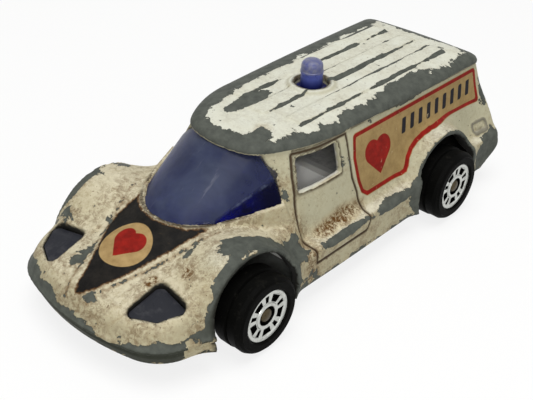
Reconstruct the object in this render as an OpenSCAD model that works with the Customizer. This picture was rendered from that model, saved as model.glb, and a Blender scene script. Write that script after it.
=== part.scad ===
// Die-cast toy ambulance with free-running wheels on two steel axles.
// Millimetres. Z is up, the nose points along -Y, and the origin is on the floor under the middle.

/* [Body] */
// Length from the nose lip to the tail
body_l = 98; // [94:0.5:102]
// Width of the body at the shelf along its sides
waist_w = 40.4; // [39:0.2:42]
// Width of the roof at its widest
roof_w = 29; // [28:0.2:30]
// Height of the underside of the roof lip above the floor
roof_z = 25.9; // [25:0.1:27]
// Height of the lower edge of the body above the floor
sill_z = 4; // [3.6:0.1:4.6]
// Height of the lip round the nose
lip_z = 7.2; // [6.8:0.1:7.6]
// Height of the shelf along the sides
shelf_z = 10.9; // [10.4:0.1:11.4]
// Thickness of the cast wall
wall = 1.3; // [1:0.1:1.6]

/* [Wheels and axles] */
// Distance between the two axles
wheelbase = 55; // [54:0.5:56]
// Diameter of the tyres
wheel_d = 14.4; // [14:0.1:14.8]
// Width of the tyres
tyre_w = 6; // [5.6:0.1:6.2]
// Diameter of the bright hub discs
hub_d = 9.7; // [9.2:0.1:10.2]
// Diameter of the axle rods
axle_d = 1.8; // [1.5:0.1:2.2]
// Radial clearance of an axle in its bore
running_fit = 0.05; // [0.02:0.01:0.1]
// Gap that lets a wheel turn clear of its neighbours
side_play = 0.4; // [0.3:0.05:0.6]

/* [Windows and lamps] */
// Diameter of the lamp on the roof
beacon_d = 4.1; // [3.6:0.1:4.6]
// Height of the lamp on the roof above the roof lip
beacon_h = 7.6; // [6.6:0.1:8.4]
// Thickness of the clear mouldings
glass_t = 1; // [0.8:0.1:1.2]
// Gap between a clear moulding and its opening
glass_fit = 0.1; // [0.05:0.05:0.2]

/* [Base] */
// Thickness of the base plate
base_t = 1.2; // [1:0.1:1.5]
// Diameter of the two rivet shanks
rivet_d = 2; // [1.6:0.1:2.4]
// Gap between the base plate and the body wall
base_fit = 0.15; // [0.1:0.05:0.25]

/* [Hidden] */
$fn = 48;

// Places that follow from the sizes above
long = body_l / 98;
nose_y = -body_l / 2;
tail_y = body_l / 2;
front_y = nose_y + (body_l - wheelbase) * 22.45 / 43;
rear_y = front_y + wheelbase;
axle_z = wheel_d / 2;
arch_r = wheel_d / 2 + 2.4;
dome_r = arch_r + 1.3;
half_w = waist_w / 2;
wheel_face = half_w + 2.9;
wheel_back = wheel_face - tyre_w;
hub_t = 1.1;
hub_seat = wheel_face - 1.5;
head_x = hub_seat + side_play;
head_r = axle_d / 2 + 0.35;
screen_y = nose_y + 36.1 * long;
base_z = sill_z - 0.5;
base_top = base_z + base_t;
ceiling_z = roof_z + 0.8;
roof_top = roof_z + 2.4;
beacon_y = nose_y + 58.4 * long;
post_front_y = nose_y + 9.5 * long;
post_rear_y = tail_y - 9.5 * long;
post_r = rivet_d / 2 + 1.2;
floor_w = 2 * (half_w - 7.2);

// Blends two surfaces with a round of size k, as a casting's fillets and rounds do
function smin(a, b, k) = min(a, b) - pow(max(k - abs(a - b), 0), 2) / (4 * k);
function smax(a, b, k) = -smin(-a, -b, k);

// Plan of the lower body: half width along the length, and the curved front of the nose
function side_line(y) =
  half_w - 0.02 * pow(max(0, nose_y + 16 * long - y), 2) - 0.006 * pow(max(0, y - tail_y + 11 * long), 2);
function nose_line(x) = nose_y + 0.0115 * x * x;

// Top of the bonnet: a shallow slope with a raised wedge that widens towards the screen
function wedge(t) = t >= 1 ? 0 : pow(1 - t * t, 2);
function bonnet(x, y) = let (
  t = (y - nose_y) / long,
  low = min(10.7 + 0.26 * t, 16.3) - 0.004 * x * x,
  high = min(10.35 + 0.355 * t, 17.3)
) low + max(0, high - low) * wedge(x / (2 + 0.42 * t));

// Upper side of the cabin, which leans in, and the slope of the tail
function cabin_side(y, z) =
  15.6 + 0.24 * (roof_z - 9.4 - z) - 0.014 * pow(max(0, nose_y + 47 * long - y), 2)
  + 0.000226 * pow(max(0, y - tail_y + 11 * long), 3) * max(0, 21 - z);
function tail_line(z) = tail_y - 0.21 * max(0, z - 13) - 0.115 * pow(max(0, 10.6 - z), 2.08);

// The parts of the skin, each negative inside
function nose_block(x, y, z) = let (
  draft = 0.5 * max(0, z - lip_z) + 0.4 * max(0, lip_z - 0.4 - z),
  plan = smax(x - side_line(y) + draft, nose_line(x) + draft - y, 3.5)
) smax(plan, z - bonnet(x, y), 2.2);
function tub(x, y, z) =
  smax(smax(x - side_line(y) + 0.06 * max(0, 10.4 - z), z - shelf_z, 1), nose_y + 16 * long - y, 1);
function dome(x, y, z, at) = let (
  swell = dome_r - 0.045 * pow(max(0, 15.5 - x), 2) - 0.05 * pow(max(0, x - 15.5), 2)
) smax(norm([y - at, z - axle_z]) - swell, x - half_w - 0.1 + 0.24 * (z - 10), 2.4);
function cabin(x, y, z) = let (
  under_roof = x - roof_half(y) + 0.4 - 0.6 * (roof_z - z)
) smax(smax(x - cabin_side(y, z), under_roof, 0.6), z - roof_z - 0.5, 0.4);
function skin(x, y, z, front) = front
  ? smin(smin(nose_block(x, y, z), tub(x, y, z), 0.5), dome(x, y, z, front_y), 3)
  : smin(smin(tub(x, y, z), dome(x, y, z, rear_y), 3), cabin(x, y, z), 2.6);

// Half outline of the roof in plan
function roof_half(y) = let (t = (y - nose_y) / long - 49) t < 0
  ? roof_w / 2 - 1.2 - 0.0245 * t * t
  : roof_w / 2 - 1.2 * pow(max(0, 1 - t / 40), 2);
roof_side = [
  for (x = [0, 2, 4, 5.8, 7.2]) [x, nose_y + 32.5 * long + 0.028 * x * x],
  for (t = [35, 36.5, 38.5, 41, 44, 49, 56, 66, 78, 92]) [roof_half(nose_y + t * long), nose_y + t * long],
  [roof_w / 2 - 0.5, tail_y - 3.8],
  [roof_w / 2 - 2, tail_y - 2.9],
  [0, tail_y - 2.4]
];
function both_sides(half) = concat(
  half, [for (i = [len(half) - 2 : -1 : 1]) [-half[i][0], half[i][1]]]
);

// Foot of the glazing round the front of the cabin
screen_foot = [
  for (p = [[0, 19.4], [3, 19.9], [5.6, 21.2], [7.8, 23.4], [9.3, 26.1], [10.9, 29.6], [12.3, 33], [13.5, 36.1]])
    [p[0], nose_y + p[1] * long]
];
function rim_z(y) = 16.7 + 0.085 * ((y - nose_y) / long - 19.4);

// Directions of the rays that sample a section of the skin, close together at the shelf
rays = [
  -42, -14, -5, 0.5, 3.5, 5, 6.5, 8.5, 11, 14, 17.5, 21, 24.5, 28, 31.5, 35,
  39, 43, 47, 52, 58, 66, 77, 90
];
inner_rays = [-42, -14, 0.5, 5, 8.5, 14, 21, 28, 35, 43, 52, 66, 90];

// Radius at which a ray from the middle of a section leaves the skin
function reach(y, z0, a, depth, front, low, high, steps) = let (m = (low + high) / 2) steps == 0
  ? m
  : skin(m * cos(a), y, z0 + m * sin(a), front) < -depth
    ? reach(y, z0, a, depth, front, m, high, steps - 1)
    : reach(y, z0, a, depth, front, low, m, steps - 1);
function section(y, depth, front, angles) = let (
  z0 = front ? min(9, 6.6 + 0.35 * (y - nose_y)) : 9,
  half = [
    for (a = angles) let (r = reach(y, z0, a, depth, front, 0, 40, 13)) [r * cos(a), z0 + r * sin(a)]
  ]
) concat(
  [for (p = half) [p[0], y, p[1]]],
  [for (i = [len(half) - 2 : -1 : 0]) [-half[i][0], y, half[i][1]]]
);

// Solid through a row of sections, closed at both ends, each patch split along its shorter diagonal
module loft(sections) {
  n = len(sections[0]);
  last = len(sections) - 1;
  points = [for (s = sections, p = s) p];
  sides = [
    for (i = [0 : last - 1], j = [0 : n - 1]) let (
      a = i * n + j,
      b = i * n + (j + 1) % n,
      c = a + n,
      d = b + n,
      cross = norm(points[a] - points[d]) < norm(points[b] - points[c])
    ) each (cross ? [[a, b, d], [a, d, c]] : [[a, b, c], [b, d, c]])
  ];
  polyhedron(
    points = points,
    faces = concat([[for (j = [n - 1 : -1 : 0]) j]], sides, [[for (j = [0 : n - 1]) last * n + j]]),
    convexity = 8
  );
}

// Skin at a depth below the outer face: bonnet sections up to the screen, then cabin sections
module skin_solid(depth, front_rings, rear_rings, angles) {
  from = nose_y + 0.15 + depth * 1.15;
  mid = screen_y - (depth > 0 ? 1 : 0);
  to = tail_y + 0.5;
  intersection() {
    loft(concat(
      [
        for (i = [0 : front_rings])
          section(from + (mid - from) * pow(i / front_rings, 1.25), depth, true, angles)
      ],
      [
        for (i = [0 : rear_rings])
          section(mid + 0.3 + (to - mid - 0.3) * i / rear_rings, depth, false, angles)
      ]
    ));
    tail_block(depth);
  }
}

// Everything ahead of the sloping tail
module tail_block(inset) {
  intersection() {
    rotate([90, 0, 90])
      linear_extrude(4 * half_w, center = true)
        polygon(concat(
          [[nose_y, 30], [nose_y, 0]],
          [for (z = [0, 3.5, 4.5, 5.5, 6.6, 7.8, 9.2, 10.6, 13, 30]) [tail_line(z) - inset, z]]
        ));
    linear_extrude(30)
      polygon(concat(
        [[-2 * half_w, nose_y], [2 * half_w, nose_y]],
        [for (x = [2 * half_w : -3.2 : -2 * half_w]) [x, tail_y - inset - 0.0015 * x * x]]
      ));
  }
}

// Roof plan at a height, drawn in by a margin
module roof_layer(z, inset) {
  translate([0, 0, z])
    linear_extrude(0.01)
      offset(delta = -inset)
        polygon(both_sides(roof_side));
}

module roof_cap() {
  hull() {
    roof_layer(roof_z, 0.3);
    roof_layer(roof_z + 0.5, 0);
    roof_layer(roof_z + 1.2, 0.35);
    roof_layer(roof_z + 1.8, 1.6);
    roof_layer(roof_top, 5);
  }
}

// Three flat ribs along the roof, and the raised ring round the lamp hole
module roof_ribs() {
  for (x = [-7.2, 7.2])
    hull()
      for (dx = [-1.6, 1.6], t = [45.5, 89])
        translate([x + dx, nose_y + t * long, roof_z + 1])
          cylinder(r = 0.3, h = 1.55, $fn = 10);
  hull()
    for (dx = [-1.6, 1.6], t = [43.5, 89])
      translate([dx, nose_y + t * long, roof_z + 1])
        cylinder(r = 0.3, h = 1.7, $fn = 10);
  translate([0, beacon_y, roof_z + 1])
    cylinder(r1 = 5.6, r2 = 4.1, h = 2.1, $fn = 40);
}

// Space of the front glazing, from its foot to the roof; grow widens it all round
module screen_space(grow, lower, top) {
  hull() {
    for (p = both_sides(screen_foot))
      translate([p[0] * (1 + grow / 12), p[1] - grow, rim_z(p[1] - grow) - lower])
        cube(0.02, center = true);
    for (x = [0, 3, 6, 8, 9.8], s = [-1, 1])
      translate([s * x * (1 + grow / 12), min(nose_y + 33.7 * long + 0.028 * x * x, screen_y) - grow, top])
        cube(0.02, center = true);
    for (s = [-1, 1])
      translate([s * (12.6 + grow), screen_y, 21.8])
        cube(0.02, center = true);
  }
}

// Low rim that the foot of the glazing stands in
module screen_rim() {
  hull()
    for (p = both_sides(screen_foot)) {
      out = min(1, (screen_y - p[1]) / 4);
      translate([p[0] * 1.04, p[1] - 0.7 * out, rim_z(p[1]) - 0.4])
        cylinder(r = 0.2, h = 0.5, $fn = 8);
      translate([p[0] * (1.04 + 0.12 * out), p[1] - 1.6 * out, rim_z(p[1]) - 3.2])
        cylinder(r = 0.2, h = 0.5, $fn = 8);
    }
}

// Headlights: corners in plan, with the height of the lens at each
lamp_corners = [
  [half_w - 9.8, nose_y + 5.3 * long, 10.85],
  [half_w - 9.6, nose_y + 10.4 * long, 12.2],
  [half_w - 5, nose_y + 9.9 * long, 11.5],
  [half_w - 6.6, nose_y + 6.9 * long, 10.89]
];
module lamp_opening(side) {
  hull()
    for (p = lamp_corners)
      translate([side * p[0], p[1], 5])
        cylinder(r = 1.15, h = 12, $fn = 20);
}
module headlight_lens(side) {
  color("slategray")
    hull()
      for (p = lamp_corners)
        translate([side * p[0], p[1], p[2] - 1.6])
          cylinder(r = 1.15 - glass_fit, h = 1.6, $fn = 20);
}

// Pane that leans with the tail, and the opening round it
module rear_pane(margin, depth) {
  translate([0, tail_y - 2.55, roof_z - 4.8])
    rotate([90 + atan(0.19), 0, 0])
      hull()
        for (x = [-8.6, 8.6], v = [-2.2, 2.2])
          translate([x, v, 0])
            cylinder(r = 1 - margin, h = depth, center = true, $fn = 20);
}
module rear_window() {
  color("midnightblue")
    rear_pane(glass_fit, glass_t);
}

// Side windows of the doors, straight through the cabin
module door_windows() {
  hull()
    for (p = [[-8.1, -1.5], [0.6, -1.5], [0.6, -6.5], [-9.5, -6.5]])
      translate([0, nose_y + (49 + p[0]) * long, roof_z + p[1]])
        rotate([0, 90, 0])
          cylinder(r = 0.5, h = 2 * half_w, center = true, $fn = 16);
}

// Outline of a door in side view, drawn in by a margin
module door_face(margin) {
  polygon([
    for (p = [[-8.6, -0.2], [-10.9, -9.5], [-11.3, -18], [3.4, -18], [4.4, -15], [4.2, -11.5], [3.5, -8.5], [3.3, -0.2]])
      [
        nose_y + (49 + p[0]) * long + margin * (p[0] < 0 ? 1 : -1),
        roof_z + p[1] + margin * (p[1] < -14 ? 1 : 2)
      ]
  ]);
}

// Shut lines of the doors, a shallow groove that follows the skin
module door_grooves() {
  difference() {
    rotate([90, 0, 90])
      linear_extrude(2 * half_w + 4, center = true)
        difference() {
          door_face(0);
          door_face(0.4);
        }
    skin_solid(0.4, 4, 12, inner_rays);
  }
}

// Groove under the lip round the nose
module nose_plan(inset) {
  offset(delta = -inset)
    polygon(both_sides([
      for (x = [0, 4, 8, 12, 14.5]) [x, nose_line(x)],
      for (t = [4.4, 6, 8, 11, 15]) [side_line(nose_y + t) - 2.2 / t, nose_y + t],
      [0, nose_y + 15]
    ]));
}
module lip_groove() {
  translate([0, 0, lip_z - 1])
    linear_extrude(0.5)
      difference() {
        translate([-half_w - 1, nose_y - 1])
          square([2 * half_w + 2, 15.5]);
        nose_plan(0.5);
      }
}

// Plain ring that edges each wheel arch
module arch_rings() {
  for (at = [front_y, rear_y], s = [-1, 1])
    translate([s * (half_w - 4), at, axle_z])
      rotate([0, s * 90, 0])
        cylinder(r = arch_r + 0.9, h = 3, $fn = 72);
}

module wheel_wells() {
  for (at = [front_y, rear_y], s = [-1, 1])
    translate([s * (wheel_back - 1.5), at, axle_z])
      rotate([0, s * 90, 0])
        cylinder(r = arch_r, h = half_w, $fn = 64);
}

// Inside of the casting
module ceiling_space() {
  hull() {
    roof_layer(roof_z - 2, 2.2);
    roof_layer(ceiling_z - 0.01, 2.2);
  }
}
module hollow() {
  skin_solid(wall, 10, 11, inner_rays);
  ceiling_space();
}

// Posts that the base plate is riveted to
module posts() {
  translate([0, post_front_y, base_top])
    cylinder(r = post_r, h = 7.6, $fn = 24);
  translate([0, post_rear_y, base_top])
    cylinder(r = post_r, h = ceiling_z - base_top + 0.2, $fn = 24);
}

module body_shell() {
  color("ivory")
    difference() {
      union() {
        difference() {
          union() {
            skin_solid(0, 24, 24, rays);
            arch_rings();
            screen_rim();
            roof_cap();
            roof_ribs();
          }
          screen_space(glass_fit, 0, roof_z + 0.24);
          hollow();
          door_grooves();
          lip_groove();
          translate([0, 0, sill_z - 50])
            cube(100, center = true);
        }
        posts();
      }
      wheel_wells();
      door_windows();
      rear_pane(0, 8);
      lamp_opening(-1);
      lamp_opening(1);
      translate([0, beacon_y, roof_z - 1])
        cylinder(d = beacon_d + 2.4, h = 9, $fn = 40);
      for (at = [post_front_y, post_rear_y])
        translate([0, at, base_top - 1])
          cylinder(d = rivet_d + 2 * running_fit, h = 4, $fn = 24);
    }
}

// One clear moulding makes the screen and both quarter panes
module screen_glazing() {
  color("midnightblue")
    difference() {
      screen_space(0, 0, roof_z + 0.14);
      screen_space(-glass_t, 0.5, roof_z + 0.7);
    }
}

// Lamp: a flange under the roof, a collar in the hole and a domed top
module roof_beacon() {
  r = beacon_d / 2;
  top = roof_z + beacon_h;
  color("royalblue")
    translate([0, beacon_y, 0])
      rotate_extrude()
        polygon(concat(
          [
            [0, ceiling_z - 1],
            [r + 2.2, ceiling_z - 1],
            [r + 2.2, ceiling_z],
            [r + 1.2 - glass_fit, ceiling_z],
            [r + 1.2 - glass_fit, roof_top - 0.6],
            [r + 0.1, roof_top - 0.2],
            [r, top - 2.7],
            [r + 0.12, top - 2.6],
            [r + 0.12, top - 2.2],
            [r, top - 2.1]
          ],
          [for (a = [0 : 10 : 90]) [r * pow(cos(a), 0.7), top - 1.4 + 1.4 * pow(sin(a), 0.9)]]
        ));
}

// Base plate with two bearing blocks for each axle
base_plan = [
  [0, nose_y + 3.5 * long],
  [half_w - 12.2, nose_y + 4.3 * long],
  [half_w - 7.7, nose_y + 6.4 * long],
  [wheel_back - 1.9, nose_y + 10.5 * long],
  [wheel_back - 1.9, front_y + arch_r + 1],
  [half_w - wall - 0.5 - base_fit, front_y + arch_r + 1],
  [half_w - wall - 0.5 - base_fit, rear_y - arch_r - 1],
  [wheel_back - 1.9, rear_y - arch_r - 1],
  [wheel_back - 1.9, tail_y - 7.4 * long],
  [0, tail_y - 7 * long]
];
module base_plate() {
  color("gray")
    difference() {
      union() {
        translate([0, 0, base_z])
          linear_extrude(base_t)
            polygon(both_sides(base_plan));
        for (at = [front_y, rear_y], s = [-1, 1])
          translate([s * (wheel_back - 5.1) - 2.8, at - 2.3, base_z + 0.2])
            cube([5.6, 4.6, axle_z + 2 - base_z]);
      }
      for (at = [front_y, rear_y])
        translate([0, at, axle_z])
          rotate([0, 90, 0])
            cylinder(d = axle_d + 2 * running_fit, h = 2 * half_w, center = true);
      for (at = [post_front_y, post_rear_y])
        translate([0, at, 0]) {
          translate([0, 0, base_z - 1])
            cylinder(d = rivet_d + 2 * running_fit, h = base_t + 2);
          translate([0, 0, base_z - 1])
            cylinder(d = 2 * rivet_d + 0.2, h = 1 + base_t / 2);
        }
    }
}

module rivet(at) {
  color("silver")
    translate([0, at, 0])
      rotate_extrude()
        polygon([
          [0, base_z + 0.1],
          [rivet_d * 0.8, base_z + 0.1],
          [rivet_d, base_z + base_t / 2 - 0.2],
          [rivet_d, base_z + base_t / 2],
          [rivet_d / 2, base_z + base_t / 2],
          [rivet_d / 2, base_top + 2.6],
          [0, base_top + 2.6]
        ]);
}

// Cabin floor with a dashboard and a pair of seats
module interior_tray() {
  color("gainsboro")
    union() {
      translate([-floor_w / 2, nose_y + 38 * long, base_top])
        cube([floor_w, 29 * long, 1]);
      translate([2.5 - floor_w / 2, nose_y + 38 * long, base_top])
        cube([floor_w - 5, 2.5, 10.5]);
      for (x = [3.5 - floor_w / 2, floor_w / 2 - 11.5]) {
        translate([x, nose_y + 44 * long, base_top])
          cube([8, 8, 5.5]);
        translate([x, nose_y + 44 * long + 7, base_top + 0.6])
          rotate([-8, 0, 0])
            cube([8, 2, 9.5]);
      }
    }
}

// Rod with a domed head at each end
module axle(at) {
  r = axle_d / 2;
  color("goldenrod")
    translate([0, at, axle_z])
      rotate([0, 90, 0])
        rotate_extrude()
          polygon(concat(
            [[0, -head_x - 0.8]],
            [for (a = [75 : -15 : 0]) [head_r * cos(a), -head_x - 0.25 - 0.55 * sin(a)]],
            [[head_r, -head_x], [r, -head_x], [r, head_x], [head_r, head_x]],
            [for (a = [0 : 15 : 75]) [head_r * cos(a), head_x + 0.25 + 0.55 * sin(a)]],
            [[0, head_x + 0.8]]
          ));
}

// Tyre and wheel body in one, with two treads and a pocket for the hub disc
module tyre(at, side) {
  r = wheel_d / 2;
  color("dimgray")
    translate([0, at, axle_z])
      rotate([0, side * 90, 0])
        rotate_extrude($fn = 72)
          polygon([
            [axle_d / 2 + running_fit, wheel_back],
            [r - 0.7, wheel_back],
            [r - 0.15, wheel_back + 0.25],
            [r, wheel_back + 0.7],
            [r, wheel_back + tyre_w * 0.44],
            [r - 0.5, wheel_back + tyre_w * 0.47],
            [r - 0.5, wheel_back + tyre_w * 0.51],
            [r - 0.15, wheel_back + tyre_w * 0.54],
            [r - 0.1, wheel_face - 1.1],
            [r - 0.4, wheel_face - 0.45],
            [r - 0.85, wheel_face - 0.25],
            [r - 0.95, wheel_face],
            [hub_d / 2 + 0.25, wheel_face],
            [hub_d / 2, wheel_face - 0.3],
            [hub_d / 2, hub_seat],
            [axle_d / 2 + running_fit, hub_seat]
          ]);
}

// Bright disc with five wide and five narrow openings
module hub(at, side) {
  r = hub_d / 2 - running_fit;
  color("silver")
    translate([0, at, axle_z])
      rotate([0, side * 90, 0])
        difference() {
          rotate_extrude($fn = 72)
            polygon([
              [1.8, hub_seat],
              [r, hub_seat],
              [r, hub_seat + hub_t - 0.1],
              [r - 0.12, hub_seat + hub_t],
              [r - 0.65, hub_seat + hub_t],
              [r - 0.85, hub_seat + hub_t - 0.2],
              [2.5, hub_seat + hub_t - 0.2],
              [2.35, hub_seat + hub_t],
              [1.9, hub_seat + hub_t],
              [1.8, hub_seat + hub_t - 0.1]
            ]);
          for (i = [0 : 9])
            rotate([0, 0, 36 * i])
              translate([0, 0, hub_seat - 1])
                linear_extrude(hub_t + 2)
                  hub_window(i % 2 == 0 ? 15.5 : 6.5);
        }
}
module hub_window(half) {
  polygon([
    for (p = [[2.65, -1], [hub_d / 2 - 0.85, -1], [hub_d / 2 - 0.85, 1], [2.65, 1]])
      [p[0] * cos(half * p[1]), p[0] * sin(half * p[1])]
  ]);
}

body_shell();
base_plate();
screen_glazing();
rear_window();
roof_beacon();
headlight_lens(1);  // headlight_lens_left
headlight_lens(-1);  // headlight_lens_right
interior_tray();
axle(front_y);  // front_axle
axle(rear_y);  // rear_axle
tyre(front_y, 1);  // tyre_front_left
tyre(front_y, -1);  // tyre_front_right
tyre(rear_y, 1);  // tyre_rear_left
tyre(rear_y, -1);  // tyre_rear_right
hub(front_y, 1);  // hub_front_left
hub(front_y, -1);  // hub_front_right
hub(rear_y, 1);  // hub_rear_left
hub(rear_y, -1);  // hub_rear_right
rivet(post_front_y);  // rivet_front
rivet(post_rear_y);  // rivet_rear
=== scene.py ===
import math

import bpy
import numpy as np
from mathutils import Matrix, Vector


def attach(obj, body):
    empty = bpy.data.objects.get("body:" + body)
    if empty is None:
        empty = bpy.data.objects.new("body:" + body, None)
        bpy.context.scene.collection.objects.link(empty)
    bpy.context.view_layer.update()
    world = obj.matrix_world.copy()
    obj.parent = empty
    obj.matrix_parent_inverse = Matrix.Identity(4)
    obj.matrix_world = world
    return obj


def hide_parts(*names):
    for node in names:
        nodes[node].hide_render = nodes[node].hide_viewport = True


# Toy ambulance: cast body with chipped paint, blue glazing and plated discs.
# Lengths in the shape functions are millimetres, and the scene is in metres.

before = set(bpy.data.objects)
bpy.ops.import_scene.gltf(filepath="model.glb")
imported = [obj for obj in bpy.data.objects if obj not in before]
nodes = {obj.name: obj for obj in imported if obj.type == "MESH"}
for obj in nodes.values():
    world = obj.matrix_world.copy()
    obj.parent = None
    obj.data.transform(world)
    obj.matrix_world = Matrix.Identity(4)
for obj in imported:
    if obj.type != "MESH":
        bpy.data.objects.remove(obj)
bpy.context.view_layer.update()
MM = 0.001

# Places on the car: the nose points to -y, and both sides have the same shape
NOSE_Y, TAIL_Y = -49, 49
FRONT_Y, REAR_Y, AXLE_Z = -26.55, 28.45, 7.2
GLASS_BACK_Y = -12.9
BEACON_Y, BEACON_HOLE = 9.4, 3.25
BODY_FOOT_Z, ROOF_FOOT_Z, ROOF_TOP_Z = 4, 26.4, 28.3
SKIN_WALL, GLASS_WALL = 1.35, 1.0
WELL_RADIUS, ARCH_LIP_RADIUS = 9.6, 10.55
LENS_GAP = 1.15
MARKER_Y, MARKER_Z, MARKER_HALF = 44.3, 12.7, (1.45, 0.45)
WINDOW_FRONT_Y, WINDOW_BACK_Y, WINDOW_FOOT_Z, WINDOW_TOP_Z = -9.5, 0.6, 19.4, 24.4
PANE_HALF_X, PANE_HALF_Z, PANE_Z = 8.6, 2.2, 21.1
ROOF_FRONT_Y, ROOF_TAIL_Y, ROOF_BOW = -16.5, 46.6, 0.028
RIB_HALF, RIB_SIDE_X, RIB_END_Y = 1.9, 7.2, 40.3
# Ribs on the roof: middle in x, front end in y and height
RIBS = ((0, -5.8, 0.36), (RIB_SIDE_X, -3.8, 0.3))
# Height of the roof by the distance inside its outline
ROOF_INSETS = [-1, 0, 0.35, 0.8, 1.6, 3, 5, 20]
ROOF_HEIGHTS = [25.4, ROOF_FOOT_Z, 27.05, 27.4, 27.72, 28.1, ROOF_TOP_Z, ROOF_TOP_Z]
# Outlines: the door in y and z, a lens opening in x and y
DOOR = [
    (-8.9, 25.4), (-10.1, 21.7), (-11.0, 16.3), (-11.5, 13.3), (-11.4, 12.3), (-11.1, 10.6), (-10.9, 8.0),
    (3.3, 8.0), (3.9, 9.6), (4.4, 11.5), (4.4, 14.0), (3.6, 17.0), (3.4, 25.4),
]
LAMP = [(10.4, -43.7), (13.6, -42.1), (15.2, -39.1), (10.6, -38.6)]
# A distance that counts as far from a print or a chip
FAR = 9.0


# Shape of the casting

def smin(a, b, k):
    return np.minimum(a, b) - np.maximum(k - np.abs(a - b), 0) ** 2 / (4 * k)


def smax(a, b, k):
    return -smin(-a, -b, k)


def pos(a):
    return np.maximum(a, 0)


def step(a, lo, hi):
    t = np.clip((a - lo) / (hi - lo), 0, 1)
    return t * t * (3 - 2 * t)


def polygon(u, v, points):
    """Signed distance to a closed outline, negative inside."""
    best, inside = None, None
    for (ax, ay), (bx, by) in zip(points, points[1:] + points[:1]):
        ex, ey = bx - ax, by - ay
        wx, wy = u - ax, v - ay
        t = np.clip((wx * ex + wy * ey) / (ex * ex + ey * ey), 0, 1)
        d = (wx - ex * t) ** 2 + (wy - ey * t) ** 2
        best = d if best is None else np.minimum(best, d)
        crosses = ((ay > v) != (by > v)) & (u < ex * (v - ay) / (ey if ey else 1e-9) + ax)
        inside = crosses if inside is None else inside ^ crosses
    return np.where(inside, -1, 1) * np.sqrt(best)


def side_line(y):
    return 20.2 - 0.02 * pos(-33 - y) ** 2 - 0.006 * pos(y - 38) ** 2


def panel(x, y):
    """Distance outside the raised wedge on the bonnet."""
    return (np.abs(x) - 2.5 - 0.374 * (y + 47.2)) * 0.937


def bonnet(x, y):
    t = y - NOSE_Y
    low = np.minimum(10.7 + 0.26 * t, 16.3) - 0.004 * x * x
    high = np.minimum(10.35 + 0.355 * t, 17.3)
    wedge = pos(1 - np.minimum((x / (2 + 0.42 * pos(t))) ** 2, 1)) ** 2
    top = low + pos(high - low) * wedge
    return top + 0.3 * step(-panel(x, y), -0.3, 0.3) * step(y, -48.6, -46.6) - 0.12


def roof_half(y):
    return np.where(y < 0, 13.3 - 0.0245 * y * y, 14.5 - 1.2 * pos(1 - y / 40) ** 2)


def cabin_side(y, z):
    lean = 15.6 + 0.24 * (16.5 - z) - 0.014 * pos(-2 - y) ** 2
    return lean + 0.000226 * pos(y - 38) ** 3 * pos(21 - z)


def dome(x, y, z, at):
    swell = 10.9 - 0.045 * pos(15.5 - x) ** 2 - 0.05 * pos(x - 15.5) ** 2
    return smax(np.hypot(y - at, z - AXLE_Z) - swell, x - 20.3 + 0.24 * (z - 10), 2.4)


def roof_inset(x, y):
    """Distance inside the outline of the roof in plan."""
    side = (x - roof_half(y)) / np.sqrt(1 + (0.049 * np.minimum(y, 0)) ** 2)
    front = (ROOF_FRONT_Y + ROOF_BOW * x * x - y) / np.sqrt(1 + (2 * ROOF_BOW * x) ** 2)
    tail = y - ROOF_TAIL_Y + 0.0032 * x * x
    return -smax(smax(side, front, 1.2), tail, 2.0)


def roof(x, y, z):
    inset = roof_inset(x, y)
    top = np.interp(inset, ROOF_INSETS, ROOF_HEIGHTS)
    for at, start, high in RIBS:
        edge = np.maximum(np.abs(x - at) - RIB_HALF, np.maximum(start - y, y - RIB_END_Y))
        top = top + high * step(-edge, -0.22, 0.28)
    cap = smax(-inset, (z - top) * 0.8, 0.5)
    ring = np.hypot(x, y - BEACON_Y)
    boss = smax((ring - 4.1 + 0.72 * (z - 28.9)) * 0.8, z - 28.95, 0.5)
    cap = smin(cap, smax(boss, 26.5 - z, 0.4), 0.9)
    cap = smax(cap, np.maximum(25.9 - z, 0.3 * (ROOF_FOOT_Z - z) - inset), 0.15)
    return smax(cap, -(ring - BEACON_HOLE), 0.25)


def screen(x, y, z):
    """Outer face of the glazing: a curved front pane and two side panes."""
    front = (z - 17.2 - 0.655 * (y + 29.5 - 0.07 * x * x)) * 0.82
    side = (x - 13.5 - 0.42 * (y - GLASS_BACK_Y) + 0.425 * (z - 18)) * 0.857
    return smax(front, side, 0.7)


def rim_z(y):
    return 16.7 + 0.085 * (y + 29.6)


def window(y, z):
    """Distance outside the door window, which has rounded corners."""
    ahead = ((y - WINDOW_FRONT_Y) * -5 + (z - WINDOW_FOOT_Z) * 1.4) / 5.19
    along = smax(ahead, y - WINDOW_BACK_Y, 0.9)
    return smax(along, smax(z - WINDOW_TOP_Z, WINDOW_FOOT_Z - z, 0.9), 0.9) - 0.35


def marker(y, z, w, h):
    """Distance outside a marker lamp with the given half width and half height."""
    along = y - MARKER_Y
    return np.hypot(pos(np.abs(along) - w), pos(np.abs(z - MARKER_Z - 0.08 * along) - h)) - 0.5


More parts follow.
